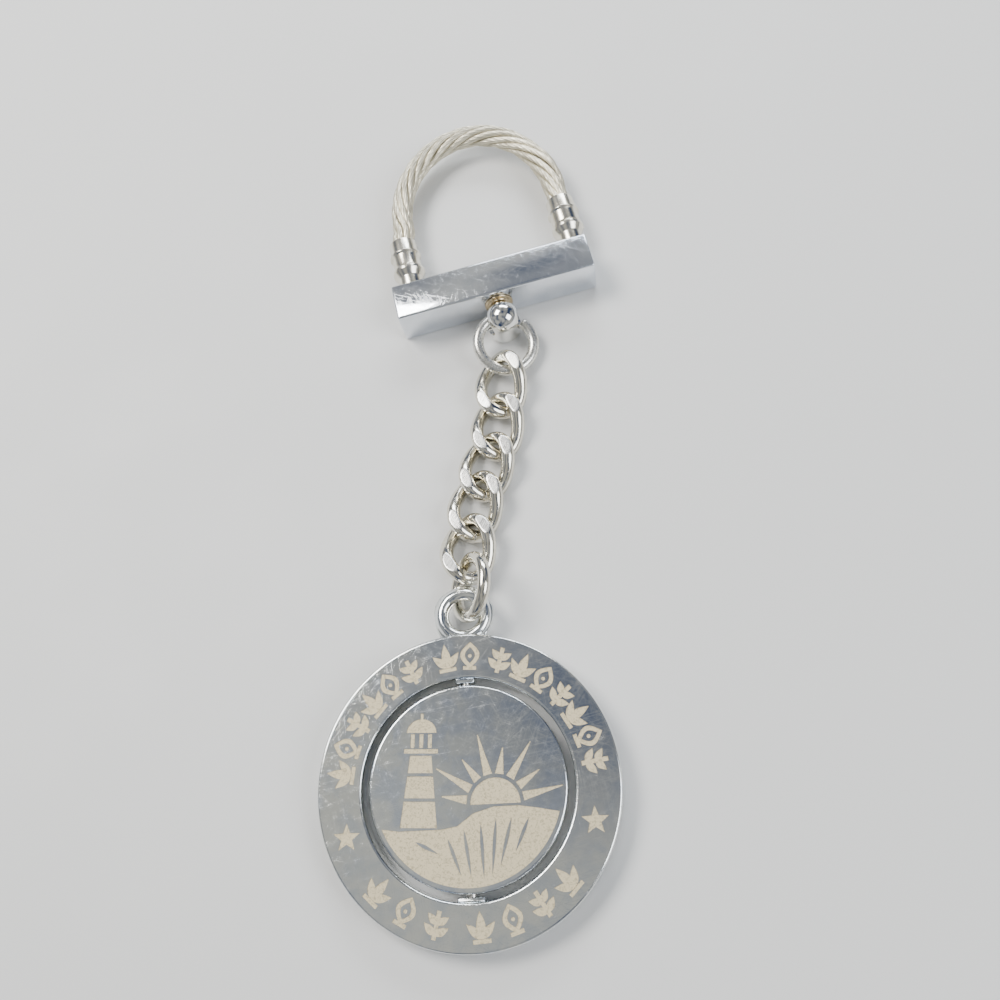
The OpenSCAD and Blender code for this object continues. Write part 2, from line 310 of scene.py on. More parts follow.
def wire_rings(route, radius, sides=28, closed=False):
    """Rings of points round a route that is smooth, each square to it."""
    route = np.asarray(route, float)
    if closed:
        ahead = np.roll(route, -1, 0) - np.roll(route, 1, 0)
    else:
        ahead = np.gradient(route, axis=0)
    ahead /= np.linalg.norm(ahead, axis=1)[:, None]
    side = np.cross(ahead, (0, 0, 1))
    side /= np.linalg.norm(side, axis=1)[:, None]
    up = np.cross(side, ahead)
    turn = np.linspace(0, 2 * math.pi, sides, endpoint=False)
    radius = np.broadcast_to(radius, len(route))[:, None, None]
    round_ = np.cos(turn)[None, :, None] * side[:, None] + np.sin(turn)[None, :, None] * up[:, None]
    return route[:, None] + radius * round_


def mesh_object(name, shape, matrix, materials):
    mesh = bpy.data.meshes.new(name)
    mesh.from_pydata([matrix @ Vector(v) * MM for v in shape.verts], [], shape.faces)
    for material in materials:
        mesh.materials.append(material)
    mesh.polygons.foreach_set("use_smooth", shape.smooth)
    mesh.polygons.foreach_set("material_index", shape.finish)
    obj = bpy.data.objects.new(name, mesh)
    bpy.context.scene.collection.objects.link(obj)
    tidy_mesh(mesh)
    return obj


def tidy_mesh(mesh):
    """Weld what meets and turn every face outward."""
    work = bmesh.new()
    work.from_mesh(mesh)
    bmesh.ops.remove_doubles(work, verts=work.verts, dist=WELD)
    bmesh.ops.dissolve_degenerate(work, edges=work.edges, dist=WELD / 5)
    bmesh.ops.recalc_face_normals(work, faces=work.faces)
    work.to_mesh(mesh)
    work.free()


def combine(obj, other, operation):
    """Join another mesh to obj, or cut it out, and drop the other."""
    modifier = obj.modifiers.new("combine", "BOOLEAN")
    modifier.operation = operation
    modifier.solver = "EXACT"
    modifier.object = other
    graph = bpy.context.evaluated_depsgraph_get()
    made = bpy.data.meshes.new_from_object(obj.evaluated_get(graph))
    obj.modifiers.clear()
    obj.data = made
    bpy.data.objects.remove(other)
    return obj


def soften_edges(obj, width, angle, segments=3):
    """Round the edges that are sharper than angle."""
    modifier = obj.modifiers.new("soften", "BEVEL")
    modifier.width = width * MM
    modifier.segments = segments
    modifier.limit_method = "ANGLE"
    modifier.angle_limit = math.radians(angle)
    modifier.harden_normals = False
    graph = bpy.context.evaluated_depsgraph_get()
    made = bpy.data.meshes.new_from_object(obj.evaluated_get(graph))
    obj.modifiers.clear()
    obj.data = made


def sharpen(obj, angle):
    """Shade smooth but for edges sharper than angle."""
    obj.data.polygons.foreach_set("use_smooth", [True] * len(obj.data.polygons))
    obj.data.set_sharp_from_angle(angle=math.radians(angle))


def hand_over(obj, body, node):
    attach(obj, body)
    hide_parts(node)
    return obj


# ---------- materials ----------

class Finish:
    """A node material with helpers for procedural patterns, in the object's own coordinates in mm."""

    def __init__(self, name, colour, metallic, roughness):
        self.material = bpy.data.materials.new(name)
        self.material.use_nodes = True
        self.tree = self.material.node_tree
        self.shader = self.tree.nodes["Principled BSDF"]
        self.shader.inputs["Base Color"].default_value = (*colour, 1)
        self.shader.inputs["Metallic"].default_value = metallic
        self.shader.inputs["Roughness"].default_value = roughness
        coordinates = self.tree.nodes.new("ShaderNodeTexCoord")
        scale = self.tree.nodes.new("ShaderNodeVectorMath")
        scale.operation = "SCALE"
        scale.inputs["Scale"].default_value = 1 / MM
        self.link(coordinates.outputs["Object"], scale.inputs[0])
        self.place = scale.outputs[0]
        self.bumps = None

    def link(self, a, b):
        self.tree.links.new(a, b)

    def value(self, socket, given):
        if isinstance(given, (int, float)):
            socket.default_value = given
        else:
            self.link(given, socket)

    def math(self, operation, a, b=0.0, clamp=False):
        node = self.tree.nodes.new("ShaderNodeMath")
        node.operation = operation
        node.use_clamp = clamp
        self.value(node.inputs[0], a)
        self.value(node.inputs[1], b)
        return node.outputs[0]

    def stretched(self, turn, stretch):
        """Coordinates turned and stretched, for streaks. turn is in degrees."""
        node = self.tree.nodes.new("ShaderNodeMapping")
        node.vector_type = "TEXTURE"
        node.inputs["Rotation"].default_value = [math.radians(a) for a in turn]
        node.inputs["Scale"].default_value = [1 / s for s in stretch]
        self.link(self.place, node.inputs["Vector"])
        return node.outputs[0]

    def noise(self, scale, detail=2.0, place=None, distortion=0.0):
        node = self.tree.nodes.new("ShaderNodeTexNoise")
        node.inputs["Scale"].default_value = scale
        node.inputs["Detail"].default_value = detail
        node.inputs["Distortion"].default_value = distortion
        self.link(place or self.place, node.inputs["Vector"])
        return node.outputs["Fac"]

    def ramp(self, value, low, high, to_low=0.0, to_high=1.0):
        node = self.tree.nodes.new("ShaderNodeMapRange")
        node.interpolation_type = "SMOOTHSTEP"
        for name, given in (("From Min", low), ("From Max", high), ("To Min", to_low), ("To Max", to_high)):
            node.inputs[name].default_value = given
        self.link(value, node.inputs["Value"])
        return node.outputs["Result"]

    def colours(self, value, *stops):
        """Colour by value: stops are (place, colour)."""
        node = self.tree.nodes.new("ShaderNodeValToRGB")
        ramp = node.color_ramp
        for element, (at, colour) in zip(ramp.elements, stops):
            element.position = at
            element.color = (*colour, 1)
        for at, colour in stops[2:]:
            ramp.elements.new(at).color = (*colour, 1)
        self.link(value, node.inputs["Fac"])
        self.link(node.outputs["Color"], self.shader.inputs["Base Color"])

    def rough(self, value):
        self.link(value, self.shader.inputs["Roughness"])

    def bump(self, height, distance, strength=1.0):
        """Add a bump of that height in mm."""
        node = self.tree.nodes.new("ShaderNodeBump")
        node.inputs["Distance"].default_value = distance * MM
        node.inputs["Strength"].default_value = strength
        self.link(height, node.inputs["Height"])
        if self.bumps:
            self.link(self.bumps, node.inputs["Normal"])
        self.bumps = node.outputs["Normal"]
        self.link(self.bumps, self.shader.inputs["Normal"])

    def scratches(self, turns, fineness, length, share):
        """Sparse straight scratches, a layer for each turn: 1 on a scratch, 0 elsewhere."""
        total = None
        for index, turn in enumerate(turns):
            place = self.stretched((0, 0, turn), (length, fineness, length))
            layer = self.ramp(self.noise(1 + 0.13 * index, 0.0, place), 1 - share, 1.05 - share)
            total = layer if total is None else self.math("MAXIMUM", total, layer)
        return total


def polished(name, colour, dull, turns, roughness=0.06, share=0.29, marks_mm=0.002):
    """Polished plate: clouded here and there, with fine scratches every way and a slight waviness."""
    f = Finish(name, colour, 1.0, roughness)
    cloud = f.noise(0.35, 3.0, distortion=0.4)
    f.colours(f.ramp(cloud, 0.35, 0.7), (0.0, colour), (1.0, dull))
    marks = f.scratches(turns, 14.0, 0.16, share)
    haze = f.ramp(f.noise(1.3, 4.0), 0.4, 0.75, roughness, roughness + 0.10)
    f.rough(f.math("ADD", haze, f.math("MULTIPLY", marks, 0.12)))
    f.bump(f.noise(0.16, 1.0), 0.05, 0.25)
    f.bump(marks, marks_mm, 0.5)
    return f.material


def frosted(name, light, dark):
    """Etched metal: a matte, finely pitted floor with darker specks."""
    f = Finish(name, light, 0.35, 0.62)
    speck = f.noise(3.2, 3.0, distortion=1.2)
    f.colours(f.ramp(speck, 0.3, 0.72), (0.0, dark), (0.45, light), (1.0, light))
    f.bump(f.noise(9.0, 3.0), 0.03, 0.8)
    return f.material


def wire_finish(name, colour, dull, roughness, turns=(20, 100)):
    """Drawn wire: slight colour clouds and fine scuffs."""
    f = Finish(name, colour, 1.0, roughness)
    f.colours(f.ramp(f.noise(0.8, 3.0), 0.35, 0.7), (0.0, colour), (1.0, dull))
    scuff = f.scratches(turns, 9.0, 0.3, 0.24)
    f.rough(f.math("ADD", f.ramp(f.noise(2.5, 3.0), 0.3, 0.8, roughness, roughness + 0.1),
                   f.math("MULTIPLY", scuff, 0.12)))
    f.bump(scuff, 0.002, 0.4)
    return f.material


def ground_flat(name, colour):
    """Ground flats: satin, with grinding lines across the chain."""
    f = Finish(name, colour, 1.0, 0.3)
    lines = f.noise(1.0, 2.0, f.stretched((0, 0, 62), (0.6, 14.0, 1.0)))
    f.rough(f.ramp(lines, 0.3, 0.7, 0.22, 0.42))
    f.bump(lines, 0.02, 0.6)
    return f.material


def turned(name, colour, dull, axis_turn, roughness):
    """Turned metal: fine rings round the piece's own axis, which lies along the bar frame's v."""
    f = Finish(name, colour, 1.0, roughness)
    f.colours(f.ramp(f.noise(0.9, 3.0), 0.3, 0.75), (0.0, colour), (1.0, dull))
    rings = f.noise(1.0, 1.0, f.stretched((0, 0, axis_turn), (0.25, 16.0, 0.25)))
    f.rough(f.ramp(rings, 0.3, 0.7, roughness, roughness + 0.10))
    f.bump(rings, 0.005, 0.4)
    return f.material


def strand_steel():
    """Satin steel strand wire with dull patches."""
    f = Finish("rope_steel", (0.74, 0.71, 0.60), 0.85, 0.38)
    f.colours(f.ramp(f.noise(0.7, 4.0), 0.3, 0.75), (0.0, (0.76, 0.71, 0.57)), (1.0, (0.56, 0.52, 0.41)))
    f.rough(f.ramp(f.noise(3.0, 3.0), 0.3, 0.7, 0.30, 0.5))
    f.bump(f.noise(6.0, 2.0), 0.02, 0.5)
    return f.material


def pale_floor():
    f = Finish("floor", (0.72, 0.72, 0.71), 0.0, 0.6)
    f.rough(f.ramp(f.noise(0.05, 3.0), 0.3, 0.7, 0.55, 0.68))
    return f.material


MEDAL_CHROME = polished("medal_chrome", (0.82, 0.83, 0.80), (0.68, 0.72, 0.76), (14, 52, 97, 141, 168))
DISC_CHROME = polished("disc_chrome", (0.81, 0.83, 0.81), (0.64, 0.69, 0.77), (8, 39, 71, 118, 155))
BAR_CHROME = polished("bar_chrome", (0.80, 0.83, 0.88), (0.72, 0.76, 0.82), (30, 75, 120, 160))
BARREL_CHROME = polished("barrel_chrome", (0.84, 0.84, 0.82), (0.78, 0.77, 0.73), (25, 110),
                         roughness=0.03, share=0.28, marks_mm=0.001)
ETCHED = frosted("etched", (0.66, 0.57, 0.38), (0.42, 0.36, 0.24))
CHAIN_NICKEL = wire_finish("chain_nickel", (0.80, 0.77, 0.68), (0.70, 0.66, 0.56), 0.10)
CHAIN_FLAT = ground_flat("chain_flat", (0.84, 0.83, 0.80))
RING_NICKEL = wire_finish("ring_nickel", (0.82, 0.81, 0.76), (0.72, 0.70, 0.64), 0.24)
FITTING_NICKEL = turned("fitting_nickel", (0.80, 0.77, 0.69), (0.70, 0.66, 0.56), -11, 0.14)
NECK_NICKEL = turned("neck_nickel", (0.72, 0.60, 0.40), (0.55, 0.43, 0.26), -11, 0.16)
ROPE_STEEL = strand_steel()
PIN_STEEL = wire_finish("pin_steel", (0.66, 0.65, 0.62), (0.54, 0.52, 0.48), 0.2)
# painted shade: a near-black colour standing in for the shade inside the seam's narrow groove where the wire
# ends meet
SEAM_SHADE = wire_finish("seam_painted_shade", (0.10, 0.09, 0.08), (0.06, 0.05, 0.05), 0.5)


# ---------- etched plates ----------

def circle(radius, count=ROUND_STEPS, centre=(0, 0)):
    turns = [2 * math.pi * k / count for k in range(count)]
    return [(centre[0] + radius * math.cos(a), centre[1] + radius * math.sin(a)) for a in turns]


def inside(points, outline):
    """Which of the points lie in the outline, by counting crossings."""
    x, y = points[:, 0], points[:, 1]
    odd = np.zeros(len(points), bool)
    for (x1, y1), (x2, y2) in zip(outline, outline[1:] + outline[:1]):
        spans = (y1 > y) != (y2 > y)
        if y1 != y2:
            odd ^= spans & (x < (x2 - x1) * (y - y1) / (y2 - y1) + x1)
    return odd


def etched_plate(shape, z, outer, inner, groups, depth):
    """A flat face at height z between two circles, with each group of outlines etched below it. A
    point is in a group if an odd number of its outlines hold it. depth is along z, towards the body."""
    verts, edges = [], []
    for outline in [circle(outer)] + ([circle(inner)] if inner else []) + [o for g in groups for o in g]:
        start = len(verts)
        verts.extend(Vector(p) for p in outline)
        edges.extend((start + k, start + (k + 1) % len(outline)) for k in range(len(outline)))
    points, _, triangles, *_ = delaunay_2d_cdt(verts, edges, [], 0, 1e-5)
    flat = np.array([tuple(p) for p in points])
    on_hole = np.abs(np.hypot(flat[:, 0], flat[:, 1]) - inner) < 1e-3 if inner else np.zeros(len(flat), bool)
    triangles = [t for t in triangles if not all(on_hole[i] for i in t)]
    centres = np.array([flat[list(t)].mean(0) for t in triangles])
    etched = np.zeros(len(triangles), bool)
    for group in groups:
        odd = np.zeros(len(triangles), bool)
        for outline in group:
            odd ^= inside(centres, outline)
        etched |= odd
    top = [(x, y, z) for x, y in flat]
    floor = [(x, y, z - depth) for x, y in flat]
    shape.add(top, [t for t, e in zip(triangles, etched) if not e], False, 0)
    shape.add(floor, [t for t, e in zip(triangles, etched) if e], False, 1)
    sides = {}
    for t, e in zip(triangles, etched):
        for a, b in zip(t, t[1:] + t[:1]):
            sides.setdefault((min(a, b), max(a, b)), []).append(e)
    walls = [edge for edge, found in sides.items() if len(found) == 2 and found[0] != found[1]]
    count = len(top)
    shape.add(top + floor, [(a, b, b + count, a + count) for a, b in walls], False, 1)


def rim(shape, radius, inward):
    """The side wall of the medal's ring or disc with its rounded edges, from the top face to the bottom."""
    half = MEDAL_T / 2
    side = -1 if inward else 1
    rows = []
    for sign in (1, -1):
        arc = []
        for k in range(EDGE_STEPS + 1):
            a = math.pi / 2 * k / EDGE_STEPS
            inset, drop = EDGE_R * (1 - math.sin(a)), EDGE_R * (1 - math.cos(a))
            arc.append((radius - side * inset, sign * (half - drop)))
        rows.extend(arc if sign > 0 else arc[::-1])
    rings = [[(r * math.cos(a), r * math.sin(a), z) for r, z in rows]
             for a in (2 * math.pi * k / ROUND_STEPS for k in range(ROUND_STEPS))]
    count = len(rows)
    faces = []
    for k in range(ROUND_STEPS):
        a, b = k * count, (k + 1) % ROUND_STEPS * count
        faces.extend((a + i, b + i, b + i + 1, a + i + 1) for i in range(count - 1))
    shape.add([p for ring in rings for p in ring], faces, True, 0)


# ---------- generic ornaments ----------

def moved(outline, at=(0, 0), turn=0.0, size=1.0):
    """An outline turned clockwise by turn degrees, scaled and moved."""
    c, s = math.cos(math.radians(turn)) * size, math.sin(math.radians(turn)) * size
    return [(at[0] + x * c + y * s, at[1] - x * s + y * c) for x, y in outline]


def leaf(length, width, full=0.42, steps=8):
    """A pointed leaf from the origin along y, widest at the share full of its length."""
    ys = [k / steps for k in range(steps + 1)]
    power = math.log(0.5) / math.log(full)
    half = [width / 2 * math.sin(math.pi * y ** power) for y in ys]
    right = [(w, y * length) for w, y in zip(half, ys)]
    return right + [(-w, y * length) for w, y in list(zip(half, ys))[-2:0:-1]]


def box_outline(w, h, centre=(0, 0)):
    x, y = centre
    return [(x - w / 2, y - h / 2), (x + w / 2, y - h / 2), (x + w / 2, y + h / 2), (x - w / 2, y + h / 2)]


def palmette():
    """Three leaves on a foot."""
    foot = (0, -1.25)
    return [[box_outline(2.2, 0.5, (0, -1.5))], [moved(leaf(3.1, 1.15), foot)],
            [moved(leaf(2.5, 1.0), foot, 44)], [moved(leaf(2.5, 1.0), foot, -44)]]


def bud():
    """An open bud: a ring-shaped leaf with a seed, on a foot."""
    low = (0, -1.55)
    return [[moved(leaf(3.4, 2.5, 0.5, 12), low), moved(leaf(2.1, 1.3, 0.5, 10), (0, -0.9))],
            [box_outline(1.7, 0.5, (0, -1.5))], [circle(0.25, 10, (0, 0.05))]]


def sprig():
    """A stem with two pairs of leaves."""
    return [[box_outline(0.55, 3.3, (0, -0.1))], [moved(leaf(1.9, 0.95), (0, -1.2), 54)],
            [moved(leaf(1.9, 0.95), (0, -1.2), -54)], [moved(leaf(1.7, 0.9), (0, 0.0), 50)],
            [moved(leaf(1.7, 0.9), (0, 0.0), -50)]]


def star(radius):
    return [(radius * (1 if k % 2 == 0 else 0.42) * math.sin(math.pi * k / 5),
             radius * (1 if k % 2 == 0 else 0.42) * math.cos(math.pi * k / 5)) for k in range(10)]


# Border: each run of motifs as first angle, last angle and count, clockwise from the top; the
# lower runs stand with their feet to the rim
BORDER_R = 16.1
UPPER_RUNS = ((-82, -25, 6), (-8, 3, 2), (17, 82, 7))
LOWER_RUNS = ((-136, -165, 3), (176, 134, 4))
STAR_ANGLES = (-109.5, 107)
STAR_R = 1.75


def border():
    motifs = (palmette, bud, sprig)
    groups = []
    count = 0
    for runs, foot_out in ((UPPER_RUNS, False), (LOWER_RUNS, True)):
        for first, last, number in runs:
            for k in range(number):
                angle = first + (last - first) * k / (number - 1)
                at = moved([(0, BORDER_R)], turn=angle)[0]
                turn = angle + (180 if foot_out else 0)
                for group in motifs[count % 3]():
                    groups.append([moved(o, at, turn) for o in group])
                count += 1
    for angle in STAR_ANGLES:
        groups.append([moved(star(STAR_R), moved([(0, BORDER_R)], turn=angle)[0])])
    return groups


# Picture: a lighthouse on a headland before a rising sun
TOWER_AT = (-6.2, -4.6)
TOWER_LEAN = 3
SUN_AT = (3.4, -2.2)
SUN_R = 3.1
LAND_R = 11.7


def tower():
    """Lighthouse: three bands of a tapered tower, a gallery, a lantern room and a dome."""
    parts = []
    for low, high in ((0, 3.1), (3.5, 6.1), (6.5, 8.6)):
        wide, narrow = 2.3 - 0.11 * low, 2.3 - 0.11 * high
        parts.append([(-wide, low), (wide, low), (narrow, high), (-narrow, high)])
    parts.append(box_outline(4.3, 0.55, (0, 9.15)))
    for x in (-1.1, 0, 1.1):
        parts.append(box_outline(0.5, 1.7, (x, 10.4)))
    dome = [(1.9 * math.cos(a), 11.4 + 1.7 * math.sin(a)) for a in (math.pi * k / 12 for k in range(13))]
    parts.append(dome)
    parts.append(box_outline(0.35, 1.0, (0, 13.3)))
    return [[moved(p, TOWER_AT, TOWER_LEAN)] for p in parts]


def sun():
    """A half sun over the land, with long and short rays."""
    half = [(SUN_R * math.cos(a), SUN_R * math.sin(a)) for a in (math.pi * k / 24 for k in range(25))]
    groups = [[moved(half, SUN_AT)]]
    for k, angle in enumerate((-80, -58, -36, -13, 10, 33, 56, 78)):
        length = 5.0 if k % 2 else 3.2
        foot = SUN_R + 0.45
        ray = [(-0.55, foot), (0.55, foot), (0.06, foot + length), (-0.06, foot + length)]
        groups.append([moved(ray, SUN_AT, angle)])
    return groups


def land():
    """The headland to the disc's lower edge, with furrows left polished."""
    arc = [(LAND_R * math.cos(a), LAND_R * math.sin(a)) for a in np.radians(np.linspace(203, 343, 41))]
    crest = [(8.6, -2.9), (6.2, -2.5), (3.2, -2.5), (0.6, -3.2), (-1.4, -4.6), (-3.4, -4.9), (-8.6, -4.9)]
    furrows = []
    for x, y, turn, length in ((-6.6, -6.2, 118, 3.2), (-2.6, -6.0, 160, 4.6), (-0.6, -5.0, 172, 5.6),
                               (1.5, -4.5, 178, 6.2), (3.4, -3.9, 186, 6.4), (5.3, -3.9, 196, 5.6),
                               (7.4, -4.0, 205, 4.2)):
        furrows.append(moved(leaf(length, 0.42), (x, y), turn))
    return [[arc + crest] + furrows]


# ---------- medal ----------

def both_faces(outer, inner, groups):
    """The medal's two flat faces, etched alike; inner is None where there is no hole."""
    shape = Shape()
    half = MEDAL_T / 2
    etched_plate(shape, half, outer, inner, groups, ETCH_DEPTH)
    mirrored = [[[(-x, y) for x, y in o] for o in g] for g in groups]
    etched_plate(shape, -half, outer, inner, mirrored, -ETCH_DEPTH)
    return shape


def medal_ring():
    shape = both_faces(MEDAL_R - EDGE_R, WINDOW_R + EDGE_R, border())
    rim(shape, MEDAL_R, False)
    rim(shape, WINDOW_R, True)
    ring = mesh_object("medal_ring_chrome", shape, medal_frame(), [MEDAL_CHROME, ETCHED])
    for width, y, sign in ((TOP_PAD_W, WINDOW_R, 1), (BOTTOM_PAD_W, -WINDOW_R, -1)):
        combine(ring, pivot_pad(width, y, sign), "UNION")
    combine(ring, eye(), "UNION")
    return hand_over(ring, "medal", "medal_ring")


def pivot_pad(width, y, sign):
    """A rounded pad on the ring's inner wall, that a pivot pin is pressed through."""
    outline = filleted([(x, z, PAD_EDGE_R) for x, z in box_outline(width, PAD_H)])
    steps = ((1.0, 1.0), (-PAD_T * 0.7, 1.0), (-PAD_T * 0.92, 0.965), (-PAD_T, 0.9))
    rings = [[(x * grow, y + sign * out, z * grow) for x, z in outline] for out, grow in steps]
    return mesh_object("pad", Shape().grid(rings), medal_frame(), [MEDAL_CHROME, ETCHED])


def eye():
    """The cast eye: a round wire ring whose mould line stands proud and flares where it meets the rim."""
    random.seed(4)
    rings = []
    for k in range(EYE_STEPS):
        a = 2 * math.pi * k / EYE_STEPS
        out = Vector((math.cos(a), math.sin(a), 0))
        down = max(0.0, -math.sin(a))
        fin = 0.28 + 0.10 * math.sin(5 * a + 1) + 0.5 * down ** 3 + random.uniform(-0.03, 0.03)
        ring = []
        for angle, reach in fin_section(fin):
            offset = out * (math.cos(angle) * reach) + Vector((0, 0, math.sin(angle) * reach))
            ring.append(Vector((0, EYE_Y, 0)) + out * EYE_R + offset)
        rings.append(ring)
    return mesh_object("eye", Shape().grid(rings, closed=True), medal_frame(), [MEDAL_CHROME, ETCHED])


def fin_section(fin, steps=36, half_width=0.16):
    """Angles and reaches of a round section with a blunt fin pointing outward."""
    section = []
    for k in range(steps):
        angle = 2 * math.pi * k / steps - math.pi
        across = abs(EYE_WIRE_R * math.sin(angle)) / half_width
        near = max(0.0, 1 - across ** 2) if math.cos(angle) > 0 else 0.0
        section.append((angle, EYE_WIRE_R + fin * math.sqrt(near)))
    return section


def spinner_disc():
    shape = both_faces(DISC_R - EDGE_R, None, tower() + sun() + land())
    rim(shape, DISC_R, False)
    disc = mesh_object("spinner_disc_chrome", shape, medal_frame(), [DISC_CHROME, ETCHED])
    return hand_over(disc, "spinner", "spinner_disc")


# ---------- chain and rings ----------

def soft_limit(z, limit, blend=0.05):
    """z held within limit, with a rounded edge to the flat."""
    size = np.abs(z)
    h = np.clip(0.5 + 0.5 * (limit - size) / blend, 0, 1)
    return np.sign(z) * (limit * (1 - h) + size * h - blend * h * (1 - h))


def curb_link(index):
    """Twisted round wire with ground flats and a butt seam right of the lower end, its groove coloured
    near-black as painted shade.
    """
    seam = math.radians(SEAM_AT)
    turns = set(np.linspace(0, 2 * math.pi, LINK_STEPS, endpoint=False))
    turns |= {seam + SEAM_STEP * s for s in (-1.6, -1.0, -0.35, 0.35, 1.0, 1.6)}
    t = np.array(sorted(turns))
    route = np.stack([LINK_HALF_W * np.sin(t), LINK_HALF_L * np.cos(t), LINK_TWIST * np.sin(2 * t)], 1)
    off = np.abs(t - seam)
    depth = np.where(off < SEAM_STEP * 0.5, 0.1, np.where(off < SEAM_STEP * 1.2, 0.02, 0))
    rings = wire_rings(route, LINK_WIRE_R - depth, 48, closed=True)
    rings[..., 2] = soft_limit(rings[..., 2], LINK_MID)
    shape = Shape().grid(rings, closed=True)
    height = np.array([np.mean([abs(shape.verts[i][2]) for i in f]) for f in shape.faces])
    around = rings.shape[1]
    # the faces deep in the seam groove take the near-black painted shade
    seam_shaded = np.repeat(depth > 0.05, around)
    shape.finish = [2 if s else 1 if h > LINK_MID - 0.035 else 0 for s, h in zip(seam_shaded, height)]
    name = f"link_{index + 1}"
    made = mesh_object(name + "_wire", shape, link_frame(index), [CHAIN_NICKEL, CHAIN_FLAT, SEAM_SHADE])
    return hand_over(made, name, name)


def ring_route(radius, first, last, count):
    a = np.radians(np.linspace(first, last, count, endpoint=last - first < 360))
    return np.stack([radius * np.cos(a), radius * np.sin(a), 0 * a], 1)


def top_ring():
    """Open ring, its cut ends rounded off."""
    first, last = TOP_RING_GAP[1], TOP_RING_GAP[0] + 360
    route = ring_route(TOP_RING_R, first, last, RING_STEPS)
    steps = np.arange(RING_STEPS)
    end = np.minimum(1, np.minimum(steps, steps[::-1]) / 2.5)
    radius = TOP_RING_WIRE_R * (RING_CUT_R + (1 - RING_CUT_R) * np.sqrt(1 - (1 - end) ** 2))
    shape = Shape().grid(wire_rings(route, radius, 32))
    made = mesh_object("top_ring_wire", shape, ring_frame("link_1_slide"), [RING_NICKEL])
    return hand_over(made, "top_ring", "top_ring")


def lower_ring():
    route = ring_route(LOW_RING_R, 0, 360, RING_STEPS)
    shape = Shape().grid(wire_rings(route, LOW_RING_WIRE_R, 32, closed=True), closed=True)
    made = mesh_object("lower_ring_wire", shape, ring_frame("medal_slide"), [CHAIN_NICKEL])
    return hand_over(made, "lower_ring", "lower_ring")


# ---------- grip, swivel and key loop ----------

def round_block(size, edge):
    work = bmesh.new()
    bmesh.ops.create_cube(work, size=1)
    for v in work.verts:
        v.co = Vector((v.co.x * size[0], v.co.y * size[1], v.co.z * size[2]))
    bmesh.ops.bevel(work, geom=work.edges[:], offset=edge, segments=4, profile=0.5, affect="EDGES")
    shape = Shape()
    work.verts.index_update()
    flat = size[0] * size[1] * 0.1
    shape.verts = [tuple(v.co) for v in work.verts]
    for f in work.faces:
        shape.faces.append(tuple(v.index for v in f.verts))
        shape.smooth.append(f.calc_area() < flat)
        shape.finish.append(0)
    work.free()
    return shape


def peg(radius, low, high, frame_, materials, segments=64):
    """A plain round cutter."""
    outline = [(0, low), (radius, low), (radius, high), (0, high)]
    return mesh_object("cutter", lathe(Shape(), outline, segments), frame_, materials)


def grip_bar():
    bar = mesh_object("grip_bar_chrome", round_block(BAR, BAR_EDGE_R), bar_frame(), [BAR_CHROME])
    middle = back_face_frame(0)
    for radius, low, high, place in (
        (STEM_BORE_R, -BAR[1] - 1, 1, middle),
        (COUNTERBORE_R, -COUNTERBORE_DEPTH, 1, middle),
        (STUD_R + RUN_GAP, -STUD_L - FACE_GAP, 1, back_face_frame(RIGHT_U)),
    ):
        combine(bar, peg(radius, low, high, place, [BAR_CHROME]), "DIFFERENCE")
    bar.data.set_sharp_from_angle(angle=math.radians(50))
    return hand_over(bar, "grip", "grip_bar")


def barrel():
    shoulder = BARREL_H - BARREL_R
    foot = filleted([(0.01, 0, 0), (BARREL_R, 0, BARREL_FOOT_R), (BARREL_R, shoulder, 0)], 8)
    dome = [(BARREL_R * math.cos(a), shoulder + BARREL_R * math.sin(a))
            for a in (math.pi / 2 * k / 16 for k in range(1, 16))]
    solid = lathe(Shape(), [(0, 0)] + foot + dome + [(0, BARREL_H)], 128)
    place = bar_frame() @ Matrix.Translation((0, BARREL_V, -BARREL_H / 2))
    made = mesh_object("swivel_barrel_chrome", solid, place, [BARREL_CHROME])
    across = bar_frame() @ Matrix.Translation((0, BARREL_V, 0)) @ Matrix.Rotation(math.pi / 2, 4, "Y")
    combine(made, peg(CROSS_HOLE_R, -5, 5, across, [BARREL_CHROME], 96), "DIFFERENCE")
    soften_edges(made, 0.12, 35)
    sharpen(made, 40)
    return hand_over(made, "swivel", "swivel_barrel")


def stem():
    """Neck flared to the bar, a bearing length in it and a peened head behind the washer."""
    outline = [(0, STEM_FROM_V)] + filleted([
        (STEM_SPIGOT_R, STEM_FROM_V, 0), (STEM_SPIGOT_R, NECK_FRONT_V, 0), (NECK_FRONT_R, NECK_FRONT_V, 0.05),
        (NECK_FRONT_R + 0.05, -0.3, 0.08), (NECK_FLARE_R, -0.22, 0.06), (NECK_FLARE_R, -FACE_GAP, 0.04),
        (STEM_R, -FACE_GAP, 0), (STEM_R, STEM_SEAT_V, 0), (STEM_HEAD_R, STEM_SEAT_V, 0.05),
        (STEM_HEAD_R - 0.1, 4.9, 0.2), (0.6, STEM_END_V, 0.3),
    ], 4) + [(0, STEM_END_V)]
    place = bar_frame() @ Matrix(((1, 0, 0, 0), (0, 0, 1, -BAR[1] / 2), (0, -1, 0, 0), (0, 0, 0, 1)))
    made = mesh_object("swivel_stem_turned", lathe(Shape(), outline, 72), place, [NECK_NICKEL])
    sharpen(made, 35)
    return hand_over(made, "swivel", "swivel_stem")


def sleeve_corners():
    """Sleeve from above the flange to the open rim and down inside it."""
    return [
        (SLEEVE_R, BEAD_Z - 0.32, 0.1), (BEAD_R, BEAD_Z - 0.1, 0.05),
        (BEAD_R, BEAD_Z + 0.1, 0.05), (SLEEVE_R, BEAD_Z + 0.32, 0.1), (SLEEVE_R, RIM_Z, 0.1),
        (ROPE_R + 0.03, RIM_Z, 0.06), (ROPE_R, RIM_Z - ROPE_DEPTH, 0),
    ]


